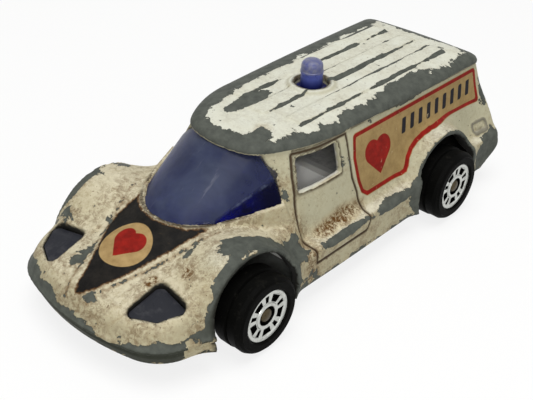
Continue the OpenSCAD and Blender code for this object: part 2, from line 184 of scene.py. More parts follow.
def skin(x, y, z):
    """The outer skin without roof, openings and engraved lines."""
    draft = 0.5 * pos(z - 7.2) + 0.4 * pos(6.8 - z)
    plan = smax(x - side_line(y) + draft, NOSE_Y + 0.0115 * x * x + draft - y, 3.5)
    nose = smax(smax(plan, z - bonnet(x, y), 1.8), y + 11.4, 3.0)
    tub = smax(smax(x - side_line(y) + 0.06 * pos(10.4 - z), z - 10.9, 1.0), -33 - y, 1.0)
    under = x - roof_half(y) + 0.4 - 0.6 * (25.9 - z)
    cabin = smax(smax(x - cabin_side(y, z), under, 0.6), z - ROOF_FOOT_Z, 0.4)
    cabin = smax(cabin, GLASS_BACK_Y - y, 0.5)
    body = smin(smin(nose, tub, 0.5), dome(x, y, z, FRONT_Y), 3.0)
    body = smin(smin(body, dome(x, y, z, REAR_Y), 3.0), cabin, 2.6)
    tail = y - TAIL_Y + 0.21 * pos(z - 13) + 0.115 * pos(10.6 - z) ** 2.08
    tail = smax(tail, y - TAIL_Y + 0.0015 * x * x, 0.6)
    return smax(body, tail, 1.0)


def casting(x, y, z):
    base = skin(x, y, z)
    hollow = base + SKIN_WALL
    # Engraved lines of the door and of the lip round the nose
    door = np.abs(polygon(y, z, DOOR))
    cut = 0.32 * np.exp(-(door / 0.3) ** 2) * step(z, 7.4, 8.0) * step(25.6 - z, 0, 0.4) * step(x, 9, 10)
    ahead = step(-13.5 - y, 0, 2)
    cut = cut + 0.4 * np.exp(-((z - 6.45) / 0.28) ** 2) * ahead
    lip = 0.22 * np.exp(-((z - 7.25) / 0.4) ** 2) * ahead
    # Marker lamps on the rear corners, each a frame round a raised middle
    frame_line = np.abs(marker(y, z, *MARKER_HALF))
    lamp = 0.34 * step(0.36 - frame_line, 0, 0.24) + 0.34 * step(-marker(y, z, 0.7, 0.0), -0.1, 0.25)
    body = base + cut - lip - lamp * step(x, 14, 15)
    # Rounded lip of each wheel arch
    for at in (FRONT_Y, REAR_Y):
        r = np.hypot(y - at, z - AXLE_Z)
        ring = np.maximum(np.maximum(r - ARCH_LIP_RADIUS, 16.4 - x), x - 19.45 + 0.06 * pos(z - 10))
        ring = np.maximum(ring, 5.6 - z)
        body = smin(body, ring, 0.7)
    # Narrow rim round the foot of the glazing
    glass = screen(x, y, z)
    rim = smax(smax(glass - 0.85, z - rim_z(y) - 0.45, 0.35), rim_z(y) - 2.5 - z, 0.5)
    body = smin(body, np.maximum(rim, y - GLASS_BACK_Y), 0.5)
    body = smin(body, roof(x, y, z), 0.3)
    body = smax(body, -smax(hollow, z - 25.1, 0.4), 0.2)
    # Openings
    held = np.minimum(y, GLASS_BACK_Y)
    through = np.maximum(screen(x, held, z) - 0.1, np.maximum(y + 10, rim_z(held) - z))
    through = np.maximum(through, z - 26.02)
    through = np.where(y > GLASS_BACK_Y, np.maximum(through, x - 12.9 + 0.425 * (z - 18)), through)
    body = smax(body, -through, 0.15)
    body = smax(body, -np.maximum(window(y, z), 8 - x), 0.25)
    lean = z - PANE_Z + 0.19 * (y - 46.45)
    pane = np.hypot(pos(x - PANE_HALF_X), pos(np.abs(lean) - PANE_HALF_Z)) - 1.0
    body = smax(body, -np.maximum(pane, 43 - y), 0.25)
    body = smax(body, -np.maximum(polygon(x, y, LAMP) - LENS_GAP, 6.5 - z), 0.3)
    for at in (FRONT_Y, REAR_Y):
        well = np.maximum(np.hypot(y - at, z - AXLE_Z) - WELL_RADIUS, 15.6 - x)
        body = smax(body, -well, 0.3)
    return smax(body, BODY_FOOT_Z - z, 0.3)


def glazing(x, y, z):
    outer = screen(x, y, z)
    shell = smax(outer, -(outer + GLASS_WALL), 0.1)
    shell = smax(shell, smax(rim_z(y) + 0.02 - z, z - 26.0, 0.1), 0.1)
    return smax(shell, y + 12.95, 0.1)


# Meshes from the shape functions

def corner(grid, shift):
    """The values at one corner of each cell of a grid."""
    return grid[tuple(slice(s, n - 1 + s) for s, n in zip(shift, grid.shape))]


def surface_net(func, low, high, cell):
    """Quads on the zero surface of a function that is the same on both sides of x = 0."""
    xs = np.arange(0.5 * cell, high[0] + cell, cell)
    ys = np.arange(low[1], high[1] + cell, cell)
    zs = np.arange(low[2], high[2] + cell, cell)
    half = func(xs[:, None, None], ys[None, :, None], zs[None, None, :])
    half = np.broadcast_to(half, (len(xs), len(ys), len(zs))).astype(np.float32)
    f = np.concatenate([half[::-1], half])
    xs = np.concatenate([-xs[::-1], xs])
    neg = f < 0
    total = np.zeros(tuple(n - 1 for n in f.shape) + (3,), np.float32)
    count = np.zeros(total.shape[:3], np.float32)
    grids = np.meshgrid(xs, ys, zs, indexing="ij", sparse=True)
    for axis in range(3):
        for o in range(4):
            d0 = [0, 0, 0]
            others = [i for i in range(3) if i != axis]
            d0[others[0]], d0[others[1]] = o & 1, o >> 1
            d1 = list(d0)
            d1[axis] = 1
            a, b = corner(f, d0), corner(f, d1)
            hit = corner(neg, d0) != corner(neg, d1)
            t = np.where(hit, a / np.where(hit, a - b, 1), 0)
            count += hit
            for i in range(3):
                start = corner(np.broadcast_to(grids[i], f.shape), d0)
                total[..., i] += np.where(hit, start + (t * cell if i == axis else 0), 0)
    live = count > 0
    index = np.full(live.shape, -1, np.int64)
    index[live] = np.arange(live.sum())
    verts = total[live] / count[live][:, None]
    quads = []
    for axis in range(3):
        u, v = [(1, 2), (2, 0), (0, 1)][axis]
        lo = [slice(1, -1)] * 3
        lo[axis] = slice(0, -1)
        hi = [slice(1, -1)] * 3
        hi[axis] = slice(1, None)
        first, second = neg[tuple(lo)], neg[tuple(hi)]
        at = np.argwhere(first != second)
        flip = second[first != second]
        at[:, [u, v]] += 1
        ring = []
        for du, dv in ((-1, -1), (0, -1), (0, 0), (-1, 0)):
            c = at.copy()
            c[:, u] += du
            c[:, v] += dv
            ring.append(index[c[:, 0], c[:, 1], c[:, 2]])
        q = np.stack(ring, 1)
        q[flip] = q[flip][:, ::-1]
        quads.append(q)
    quads = np.concatenate(quads)
    return verts.astype(float), quads[(quads >= 0).all(1)]


def slope(func, p, h=0.04):
    """Values and gradients of a shape function at points on both sides."""
    x, y, z = np.abs(p[:, 0]), p[:, 1], p[:, 2]
    here = func(x, y, z)
    g = np.stack([func(x + h, y, z), func(x, y + h, z), func(x, y, z + h)], 1) - here[:, None]
    g = g / h
    g[:, 0] *= np.where(p[:, 0] < 0, -1, 1)
    return here, g


def settle(func, verts, rounds=2):
    """Moves points onto the surface, at most 0.2 mm along each axis."""
    start = verts.copy()
    for _ in range(rounds):
        value, g = slope(func, verts)
        move = -value[:, None] * g / np.maximum((g * g).sum(1), 0.2)[:, None]
        verts = start + np.clip(verts + move - start, -0.2, 0.2)
    return verts


def mesh_object(name, verts, quads, fields=None):
    """A smooth mesh with one value of each field at each vertex."""
    mesh = bpy.data.meshes.new(name)
    mesh.vertices.add(len(verts))
    mesh.vertices.foreach_set("co", (verts * MM).astype(np.float32).ravel())
    mesh.loops.add(quads.size)
    mesh.loops.foreach_set("vertex_index", quads.astype(np.int32).ravel())
    mesh.polygons.add(len(quads))
    mesh.polygons.foreach_set("loop_start", np.arange(0, quads.size, 4, dtype=np.int32))
    mesh.polygons.foreach_set("loop_total", np.full(len(quads), 4, np.int32))
    mesh.update(calc_edges=True)
    mesh.polygons.foreach_set("use_smooth", np.ones(len(quads), bool))
    for key, values in (fields or {}).items():
        layer = mesh.attributes.new(key, "FLOAT", "POINT")
        layer.data.foreach_set("value", np.asarray(values, np.float32))
    obj = bpy.data.objects.new(name, mesh)
    bpy.context.scene.collection.objects.link(obj)
    return obj


# Print, wear, dirt and painted shade on the casting: at each vertex, distances in millimetres and shares

# Outlines: the side label in y and z, the black wedge and the foot of the glazing in x and y
LABEL = [
    (4.9, 24.0), (5.1, 24.5), (5.6, 24.7), (44.6, 24.7), (45.1, 24.5), (45.3, 24.0),
    (45.5, 18.2), (45.3, 17.7), (44.8, 17.5), (36.0, 17.8), (29.5, 18.2), (27.0, 18.15),
    (24.8, 17.75), (22.8, 17.05), (21.2, 16.1), (20.0, 14.9), (19.2, 13.6), (18.4, 12.7),
    (17.2, 12.3), (6.8, 12.3), (5.4, 13.4), (4.7, 15.8), (4.3, 20.3),
]
DECAL = [
    (-0.5, -46.9), (0.7, -46.6), (2.2, -45.0), (3.9, -41.2), (5.3, -36.9), (7.0, -31.6), (8.6, -26.6),
    (7.6, -24.0), (0.3, -28.0), (-6.6, -24.0), (-7.6, -26.6), (-7.6, -32.1), (-6.9, -34.8), (-4.5, -39.1),
    (-2.7, -42.4), (-1.0, -46.4),
]
FOOT = [
    (0, -29.6), (3, -29.1), (5.6, -27.8), (7.8, -25.6), (9.3, -22.9), (10.9, -19.4), (10.9, -15), (0, -15),
]
# Marks on the label and on the wedge
HEART_Y, HEART_Z, HEART_SIZE = 11.6, 18.3, 6.4
BARS_Y, BARS_Z, BAR_PITCH, BAR_LEAN = 31.0, 21.3, 2.75, 0.24
BAR_HALF_WIDTH, BAR_HALF_HEIGHT, BARS_EACH_WAY = 0.62, 1.45, 4
DISC_X, DISC_Y, DISC_HALF_X, DISC_HALF_Y = -0.35, -36.3, 4.7, 4.3
DISC_SCALE, DISC_HEART = 4.4, 5.2
# Upper edge of the bare lip round the nose: places along x and heights
LIP_X = [-12, -9, -3, 2, 8, 12, 15, 18]
LIP_Z = [9.6, 9.3, 8.3, 8.3, 7.5, 7.7, 8.5, 9.2]
# Places where paint is gone: centre, reach along x, y and z, strength
SPOTS = [
    (12.4, 22.5, 28, 2.5, 9.0, 3, 4.5), (-3.9, -3.4, 28.3, 1.7, 6.0, 3, 5.0),
    (6.2, -11.2, 27.8, 2.2, 2.4, 2, 3.0), (16.4, -26.8, 17.8, 2.8, 2.6, 1.8, 2.8),
    (18.0, -22.8, 17.0, 2.6, 4.4, 2.4, 2.8), (19.0, -17.5, 13.0, 1.9, 6.0, 4.0, 3.0),
    (19.9, -3.5, 10.5, 0.9, 7.2, 0.8, 3.2), (19.8, 11.0, 10.2, 1.6, 6.2, 1.2, 4.0),
    (20.4, 18.6, 9.4, 1.4, 2.4, 4.2, 4.0), (18.4, 46.5, 7.6, 4.5, 7.0, 4.6, 6.0),
    (15.2, 47.0, 18.5, 0.8, 0.8, 4.0, 0.9), (13.1, -12.1, 19.4, 0.9, 0.7, 1.4, 1.2),
    (2.0, -46.4, 10.9, 0.8, 1.1, 0.8, 0.5), (9.7, -30.7, 16.0, 0.5, 1.5, 1.0, 1.0),
    (-5.6, -41.8, 12.4, 0.6, 3.2, 1.2, 0.5), (-8.2, -33.8, 14.5, 0.6, 1.6, 1.0, 1.0),
    (-17.0, -22.5, 17.2, 2.0, 4.5, 1.2, 1.2), (-19.6, -24.0, 14.5, 1.4, 7.5, 3.4, 1.4),
    (-19.8, 6.0, 10.7, 1.2, 9.0, 1.0, 1.5), (-20.2, 18.5, 9.0, 1.2, 3.5, 3.0, 1.6),
    (-18.4, 46.0, 9.0, 3.6, 5.0, 4.0, 2.2), (-14.8, 30.0, 24.0, 1.5, 9.0, 1.6, 1.2),
    (-15.3, 47.0, 17.0, 0.9, 1.0, 4.0, 1.0), (7.0, 49.0, 10.5, 6.0, 2.0, 1.6, 1.6),
    (-9.0, 48.0, 14.0, 4.0, 2.0, 1.4, 1.2), (20.0, -13.0, 6.5, 1.0, 2.5, 1.5, 1.2),
    (14.3, 1.6, 21.5, 0.8, 0.5, 2.0, 0.7), (-17.0, -36.0, 11.5, 2.0, 2.5, 2.0, 1.4),
]
# Places with dirt and rust, with their values in the same order
STAINS = [
    (17.4, -1.0, 12.0, 3.0, 9.0, 2.4, 1.7), (17.4, -5.5, 11.5, 2.4, 5.0, 1.6, 2.0),
    (16.0, -11.0, 13.0, 3.0, 2.2, 3.5, 0.8), (-14.0, -38.0, 12.0, 5.0, 6.0, 4.0, 0.9),
    (-8.6, -36.0, 13.8, 2.0, 5.0, 1.6, 1.0), (12.5, -34.0, 14.4, 2.4, 3.0, 2.6, 1.5),
    (8.2, -38.5, 13.2, 1.6, 2.2, 1.6, 2.0), (-16.0, -1.0, 11.6, 3.0, 9.0, 1.9, 1.0),
    (15.8, 20.5, 13.5, 2.0, 3.0, 3.0, 0.6), (5.0, -9.5, 28.0, 3.0, 4.0, 2.0, 0.5),
    (14.6, -2.0, 19.0, 1.0, 7.0, 0.6, 0.8), (17.6, 28.0, 16.4, 4.0, 11.0, 3.0, 0.7),
    (0.0, 48.5, 12.0, 12.0, 2.0, 3.0, 0.5), (14.0, -21.0, 17.0, 3.0, 4.0, 2.0, 0.6),
]
# A cleaner place on the near wing
CLEAN_WING = (15.5, -29.5, 15.8, 3.6, 5.0, 3.0, 2.0)


def blobs(p, spots):
    """Depth inside the strongest of some rounded places, negative outside them all."""
    best = np.full(len(p), -FAR)
    for cx, cy, cz, rx, ry, rz, strength in spots:
        q = np.sqrt(((p[:, 0] - cx) / rx) ** 2 + ((p[:, 1] - cy) / ry) ** 2 + ((p[:, 2] - cz) / rz) ** 2)
        best = np.maximum(best, strength * (1 - q))
    return best


def heart(u, v, size):
    """Signed distance to a plain heart whose point lies 0.55 of its size below the middle."""
    u, v = np.abs(u) / size, v / size + 0.55
    lobe = np.hypot(u - 0.25, v - 0.75) - 0.3536
    m = 0.5 * pos(u + v)
    side = np.sqrt(np.minimum(u * u + (v - 1) ** 2, (u - m) ** 2 + (v - m) ** 2)) * np.sign(u - v)
    return np.where(u + v > 1, lobe, side) * size


def label_fields(x, y, z, normal, wall):
    """Distances to the label on each side, its heart and its row of bars."""
    off = FAR * (1 - wall)
    # The distance is measured along the skin, which leans away from the label's plane
    nudge = 0.05
    label = polygon(y, z, LABEL)
    along_y = polygon(y + nudge, z, LABEL) - label
    along_z = polygon(y, z + nudge, LABEL) - label
    lean = (along_y * normal[:, 1] + along_z * normal[:, 2]) / nudge
    label = label / np.sqrt(np.maximum(1 - lean ** 2, 0.05)) + off + FAR * (np.abs(x) < 11)
    label = label + FAR * (normal[:, 1] > 0.72)
    # The row climbs a little towards the tail
    mid = BARS_Z + 0.012 * (y - BARS_Y)
    along = y - BARS_Y - BAR_LEAN * (z - mid)
    place = BAR_PITCH * np.clip(np.round(along / BAR_PITCH), -BARS_EACH_WAY, BARS_EACH_WAY)
    bars = np.maximum(np.abs(along - place) - BAR_HALF_WIDTH, np.abs(z - mid) - BAR_HALF_HEIGHT)
    return {
        "label": label,
        "label_heart": heart(y - HEART_Y, z - HEART_Z, HEART_SIZE) + off,
        "bars": bars + off,
    }


def bonnet_fields(x, y, top):
    """Distances to the black wedge, its disc and heart, and to the low step round it."""
    off = FAR * (1 - top) + FAR * (y > -22)
    u, v = x - DISC_X, y - DISC_Y
    disc = np.hypot(u / DISC_HALF_X, v / DISC_HALF_Y) - 1
    return {
        "decal": np.maximum(polygon(x, y, DECAL), 0.85 - polygon(np.abs(x), y, FOOT)) + off,
        "disc": disc * DISC_SCALE + off,
        # The heart stands with its point towards the nose
        "disc_heart": heart(u, v, DISC_HEART) + off,
        "panel": np.maximum(np.abs(panel(x, y)), y + 25.5) + FAR * (1 - top),
    }


def paint_loss(p, label, decal):
    """Distance inside the places without paint, before the shader makes their edges jagged."""
    x, y, z = p.T
    ax = np.abs(x)
    # Edge of the roof, with a wider band on the far side
    band = np.maximum(2.3 - (roof_half(y) - x), 4.6 - (roof_half(y) + x))
    band = np.maximum(band, 2.9 - (y - ROOF_FRONT_Y - ROOF_BOW * x * x))
    band = np.maximum(band, 2.9 - (46.5 - y))
    band = np.where(z > 26.25, np.maximum(band, 0.6 - roof_inset(ax, y)), -FAR)
    # Lip round the nose, with paint left below it on the near corner
    lip_foot = np.where((x > 0) & (y > -41), 7.6, 4.5)
    lip = 1.6 * np.minimum(np.interp(x, LIP_X, LIP_Z) - z, z - lip_foot)
    lip = np.where((y < -13) & ((y < -36) | (ax < 17)), lip, -FAR)
    wear = np.maximum(np.maximum(band, lip), blobs(p, SPOTS))
    # Rims of the wheel arches: steepness of the edge and its radius
    ahead = y < FRONT_Y - 2
    front_rim = (np.where(ahead, 4.0, 2.2), np.where(ahead, 10.85, 10.6))
    for at, (steep, reach) in ((FRONT_Y, front_rim), (REAR_Y, (5.0, 10.4))):
        rim = steep * (reach - np.hypot(y - at, z - AXLE_Z)) + 0.5 * pos(ax - 18.8)
        wear = np.maximum(wear, np.where((ax > 17.4) & (z > np.where(ahead, 8.0, 4.5)), rim, -FAR))
    # Prints and marker lamps keep more paint, and the lower edge less
    wear = wear - 2.4 * (label < 0.2) * (z > 12) - 2.5 * (decal < 0.3)
    wear = wear - 4 * (marker(y, z, *MARKER_HALF) < 0.5)
    return np.maximum(wear, np.where(z < 5.2, 0.9 * (4.6 - z), -FAR))


def dirt(p):
    """Share of dirt and rust, most of it on the bonnet and low on the sides."""
    y, z = p[:, 1], p[:, 2]
    front = 0.44 * step(-8 - y, 0, 4) * step(24 - z, 0, 3)
    low = 0.3 * step(14 - z, 0, 4) * step(y, -16, -12)
    grime = 0.16 + front + low - 0.3 * np.clip(blobs(p, [CLEAN_WING]), 0, 1)
    return np.maximum(grime, np.clip(blobs(p, STAINS), 0, 1.2))


def hidden_faces(p, normal):
    """Inner faces of the casting, and the share of shade on them and in the openings."""
    x, y, z = p.T
    ax = np.abs(x)
    depth = skin(ax, y, z)
    inside = (depth < -0.9) & (z < 25.9)
    shade = ((y < -9) | (y > 17)) & inside
    for at in (FRONT_Y, REAR_Y):
        r = np.hypot(y - at, z - AXLE_Z)
        facing = (normal[:, 1] * (y - at) + normal[:, 2] * (z - AXLE_Z)) / r
        shade = shade | (r < 10.2) & (ax > 13) & ((depth < -0.25) | (facing < -0.6))
    # Painted shade on the lip of the front arch and on the wall faces of the lens openings
    lip = 0.6 * step(ARCH_LIP_RADIUS - np.hypot(y - FRONT_Y, z - AXLE_Z), 0, 0.4)
    lip = lip * step(ax, 16.5, 17.5) * step(FRONT_Y + 3 - y, 0, 4)
    lens_wall = step(1.5 - polygon(ax, y, LAMP), 0, 0.3) * (z > 7)
    return inside, np.maximum(np.maximum(shade, lip), lens_wall)


def seam_field(x, y, z, wall, top):
    """Distance to the foot of the glazing, the lamp's hole, the door window and the foot of the roof."""
    ax = np.abs(x)
    foot = np.abs(polygon(ax, y, FOOT) - 0.3) + FAR * (y > -18) + FAR * (1 - top)
    hole = np.abs(np.hypot(x, y - BEACON_Y) - 3.4) + FAR * (z < 28)
    drip = np.abs(z - 26.0) + 0.1 + FAR * (y < -9)
    side = np.minimum(np.abs(window(y, z)), drip) + FAR * (1 - wall) + FAR * (ax < 9)
    return np.minimum(np.minimum(foot, hole), side)


def print_fields(p, normal):
    """All the fields that the paint reads, by name."""
    x, y, z = p.T
    ax = np.abs(x)
    wall = step(np.abs(normal[:, 0]) * (x * normal[:, 0] > 0), 0.1, 0.2)
    top = step(normal[:, 2], 0.3, 0.5)
    fields = label_fields(x, y, z, normal, wall)
    fields.update(bonnet_fields(x, y, top))
    fields["door"] = polygon(y, z, DOOR) + FAR * (ax < 9)
    fields["marker"] = marker(y, z, *MARKER_HALF) + FAR * (ax < 14)
    fields["wear"] = paint_loss(p, fields["label"], fields["decal"])
    fields["grime"] = dirt(p)
    fields["inside"], fields["shade"] = hidden_faces(p, normal)
    fields["seam"] = seam_field(x, y, z, wall, top)
    return fields


# Materials

def lin(*colour):
    """Scene colour of three values from 0 to 255 as they look on a screen."""
    shares = [c / 255 for c in colour]
    return tuple(s / 12.92 if s <= 0.04045 else ((s + 0.055) / 1.055) ** 2.4 for s in shares) + (1.0,)


def scaled(colour, share):
    return [c * share for c in colour]


class Paint:
    """Short words for building one node material."""

    def __init__(self, name):
        self.mat = bpy.data.materials.new(name)
        self.mat.use_nodes = True
        self.tree = self.mat.node_tree
        self.tree.nodes.clear()
        self.out = self.tree.nodes.new("ShaderNodeOutputMaterial")
        self.where = self.node("ShaderNodeTexCoord").outputs["Object"]

    def node(self, kind, **values):
        n = self.tree.nodes.new(kind)
        for key, value in values.items():
            setattr(n, key, value)
        return n

    def put(self, socket, value):
        if isinstance(value, bpy.types.NodeSocket):
            self.tree.links.new(value, socket)
        else:
            socket.default_value = value

    def shader(self, **values):
        s = self.node("ShaderNodeBsdfPrincipled")
        for key, value in values.items():
            self.put(s.inputs[key.replace("_", " ")], value)
        return s

    def blend(self, fac, first, second):
        n = self.node("ShaderNodeMixShader")
        self.put(n.inputs[0], fac)
        self.put(n.inputs[1], first.outputs[0])
        self.put(n.inputs[2], second.outputs[0])
        return n

    def finish(self, shader):
        self.tree.links.new(shader.outputs[0], self.out.inputs["Surface"])
        return self.mat

    def math(self, kind, a, b=0.0, clamp=False):
        n = self.node("ShaderNodeMath", operation=kind, use_clamp=clamp)
        self.put(n.inputs[0], a)
        self.put(n.inputs[1], b)
        return n.outputs[0]

    def plus(self, a, b, clamp=False):
        return self.math("ADD", a, b, clamp)

    def minus(self, a, b):
        return self.math("SUBTRACT", a, b)

    def times(self, a, b, clamp=False):
        return self.math("MULTIPLY", a, b, clamp)

    def most(self, a, b, clamp=False):
        return self.math("MAXIMUM", a, b, clamp)

    def plain(self, a):
        """The value without its sign."""
        return self.math("ABSOLUTE", a)

    def mix(self, fac, a, b):
        n = self.node("ShaderNodeMix", data_type="RGBA")
        self.put(n.inputs["Factor"], fac)
        self.put(n.inputs[6], a)
        self.put(n.inputs[7], b)
        return n.outputs[2]

    def split(self, vector):
        n = self.node("ShaderNodeSeparateXYZ")
        self.put(n.inputs[0], vector)
        return tuple(n.outputs)

    def facing(self):
        """The x, y and z of the surface normal."""
        return self.split(self.node("ShaderNodeNewGeometry").outputs["Normal"])

    def noise(self, size, detail=4.0, rough=0.55, warp=0.0, squeeze=None):
        """Noise with features of about size millimetres."""
        n = self.node("ShaderNodeTexNoise")
        source = self.where
        if squeeze:
            m = self.node("ShaderNodeMapping")
            self.put(m.inputs["Vector"], self.where)
            m.inputs["Scale"].default_value = squeeze
            source = m.outputs[0]
        self.put(n.inputs["Vector"], source)
        values = {"Scale": 1000 / size, "Detail": detail, "Roughness": rough, "Distortion": warp}
        for key, value in values.items():
            self.put(n.inputs[key], value)
        return n.outputs[0]

    def ramp(self, value, lo, hi, low=0.0, high=1.0):
        n = self.node("ShaderNodeMapRange")
        for i, v in enumerate((value, lo, hi, low, high)):
            self.put(n.inputs[i], v)
        return n.outputs[0]

    def field(self, name):
        return self.node("ShaderNodeAttribute", attribute_name=name).outputs["Fac"]

    def inside(self, name, at=0.0, soft=0.05):
        """One where a distance field is below a value."""
        return self.ramp(self.field(name), at - soft, at + soft, 1.0, 0.0)

    def bump(self, height, depth, strength=1.0, under=None):
        n = self.node("ShaderNodeBump")
        n.inputs["Strength"].default_value = strength
        n.inputs["Distance"].default_value = depth * MM
        self.put(n.inputs["Height"], height)
        if under is not None:
            self.put(n.inputs["Normal"], under)
        return n.outputs["Normal"]


# Colours of the casting: cream paint, in a lighter copy for painted light on top faces and a darker one for
# painted shade on the walls, and what lies on it
CREAM_WALL_IN_PAINTED_SHADE, CREAM_TOP_IN_PAINTED_LIGHT = lin(178, 175, 150), lin(218, 220, 207)
STAINED_WALL_IN_PAINTED_SHADE, STAINED_TOP_IN_PAINTED_LIGHT = lin(172, 163, 134), lin(208, 198, 168)
YELLOWED, DUST = lin(194, 187, 156), lin(142, 122, 84)
RUST, SPECK = lin(92, 62, 30), lin(92, 70, 50)
# Prints
TAN, TAN_SHADE = lin(162, 138, 93), lin(134, 111, 72)
TAN_SPOT, TAN_SCUFF = lin(110, 84, 52), lin(196, 178, 140)
RED, RED_SHADE = lin(146, 34, 27), lin(112, 27, 22)
BAR_INK = lin(34, 33, 38)
BLACK, BLACK_SHADE, BLACK_SCUFF = lin(22, 21, 20), lin(40, 37, 33), lin(120, 100, 74)
DISC, DISC_SHADE = lin(172, 145, 99), lin(146, 121, 80)
# Dirt in lines
WEDGE_LINE, DOOR_LINE, MARKER_LINE = lin(104, 74, 44), lin(58, 43, 30), lin(112, 108, 96)
STEP_DIRT, SEAM_DIRT = lin(120, 92, 60), lin(58, 46, 32)
# Bare metal and hidden faces, with darker colours for painted shade and painted shadow on them
ZINC, ZINC_PALE, ZINC_SPOT = lin(70, 73, 68), lin(92, 95, 88), lin(62, 62, 56)
ZINC_NOSE_IN_PAINTED_SHADE, ZINC_IN_PAINTED_EDGE_SHADOW = lin(46, 48, 39), lin(52, 50, 44)
INNER_FACE, SHADE = lin(206, 203, 192), lin(34, 33, 30)


def cream_enamel(p, facing_up, dust, grime, big):
    """Cream paint, lighter by painted light on faces that look up and darker by painted shade on the rest,
    yellowed and dirty in patches.
    """
    # Painted light and shade: faces that look up take the lighter copies of the cream and of the stained
    # cream
    cream = p.mix(p.ramp(facing_up, 0.82, 0.98), CREAM_WALL_IN_PAINTED_SHADE, CREAM_TOP_IN_PAINTED_LIGHT)
    stained_with_painted_light_and_shade = p.mix(p.ramp(facing_up, 0.55, 0.9), STAINED_WALL_IN_PAINTED_SHADE, STAINED_TOP_IN_PAINTED_LIGHT)
    cream = p.mix(p.ramp(grime, 0.1, 0.7), cream, stained_with_painted_light_and_shade)
    cream = p.mix(p.ramp(big, 0.35, 0.75, 0.0, 0.35), cream, YELLOWED)
    cream = p.mix(p.times(dust, 0.95, True), cream, DUST)
    patch = p.most(p.ramp(p.noise(5.0, 5, 0.65), 0.4, 0.56), p.ramp(grime, 0.55, 0.85))
    rust = p.times(grime, p.ramp(p.noise(0.9, 10, 0.85, 0.5), 0.45, 0.53))
    cream = p.mix(p.times(p.times(rust, patch), 0.95, True), cream, RUST)
    speck = p.times(p.ramp(p.noise(0.45, 4, 0.65), 0.63, 0.69), p.ramp(grime, 0.0, 0.6, 0.35, 1.0))
    return p.mix(speck, cream, SPECK)


def printed(p, enamel, mid):
    """The label on each side and the wedge on the bonnet, over the cream paint."""
    red = p.mix(p.ramp(mid, 0.35, 0.7), RED, RED_SHADE)
    scuff = p.ramp(p.noise(1.3, 7, 0.75, 0.5), 0.64, 0.68, 0.0, 0.6)
    # Label: tan, with a red border, a heart and a row of bars
    tan = p.mix(p.ramp(p.noise(2.6, 7, 0.7), 0.35, 0.7), TAN, TAN_SHADE)
    tan = p.mix(p.ramp(p.noise(0.7, 5, 0.7), 0.6, 0.75, 0.0, 0.6), tan, TAN_SPOT)
    label = p.field("label")
    border = p.times(p.ramp(label, -0.9, -0.83), p.ramp(label, -0.14, -0.08, 1.0, 0.0))
    border = p.times(border, p.ramp(p.noise(0.9, 5, 0.7), 0.3, 0.36, 0.35, 1.0))
    side = p.mix(border, tan, red)
    side = p.mix(p.inside("label_heart"), side, red)
    side = p.mix(p.inside("bars"), side, BAR_INK)
    side = p.mix(scuff, side, TAN_SCUFF)
    enamel = p.mix(p.inside("label"), enamel, side)
    # Wedge: black, with a tan disc and a heart, and a brown line round its ragged edge
    black = p.mix(p.ramp(p.noise(2.0, 7, 0.7), 0.4, 0.75), BLACK, BLACK_SHADE)
    disc = p.mix(p.ramp(mid, 0.35, 0.7), DISC, DISC_SHADE)
    disc = p.mix(p.inside("disc_heart"), disc, red)
    wedge = p.mix(p.inside("disc"), black, disc)
    wedge = p.mix(p.times(scuff, 0.35), wedge, BLACK_SCUFF)
    ragged = p.plus(p.field("decal"), p.ramp(p.noise(0.8, 5, 0.7), 0.3, 0.7, -0.25, 0.25))
    enamel = p.mix(p.ramp(ragged, -0.05, 0.05, 1.0, 0.0), enamel, wedge)
    return p.mix(p.ramp(p.plain(ragged), 0.05, 0.28, 0.7, 0.0), enamel, WEDGE_LINE)


def dirty_lines(p, enamel, mid):
    """Dirt in engraved lines and seams, and along the step round the wedge."""
    enamel = p.mix(p.ramp(p.plain(p.field("door")), 0.14, 0.4, 0.95, 0.0), enamel, DOOR_LINE)
    enamel = p.mix(p.ramp(p.plain(p.field("marker")), 0.18, 0.42, 0.85, 0.0), enamel, MARKER_LINE)
    beside = p.times(p.ramp(p.field("panel"), 0.1, 0.45, 1.0, 0.0), p.ramp(mid, 0.35, 0.55))
    enamel = p.mix(p.times(beside, 0.7), enamel, STEP_DIRT)
    seam = p.times(p.ramp(p.field("seam"), 0.15, 0.6, 1.0, 0.0), p.ramp(mid, 0.25, 0.5, 0.3, 1.0))
    return p.mix(p.times(seam, 0.9), enamel, SEAM_DIRT)


def rib_wear(p, x, y, z):
    """Above zero along the edges of the ribs on the roof."""
    nearest = None
    for at in (RIB_HALF, RIB_SIDE_X - RIB_HALF, RIB_SIDE_X + RIB_HALF):
        d = p.plain(p.minus(p.plain(x), at * MM))
        nearest = d if nearest is None else p.math("MINIMUM", nearest, d)
    wide = p.ramp(p.noise(3.0, 5, 0.6, squeeze=(1, 0.35, 1)), 0.37, 0.6, -0.12, 0.6)
    rib = p.minus(wide, p.times(nearest, 1 / MM))
    on_roof = p.times(p.ramp(z, 0.0280, 0.0281), p.ramp(y, 0.0401, RIB_END_Y * MM, 1.0, 0.0))
    on_roof = p.times(on_roof, p.ramp(y, -0.0045, -0.0043))
    return p.minus(rib, p.times(p.minus(1.0, on_roof), FAR))


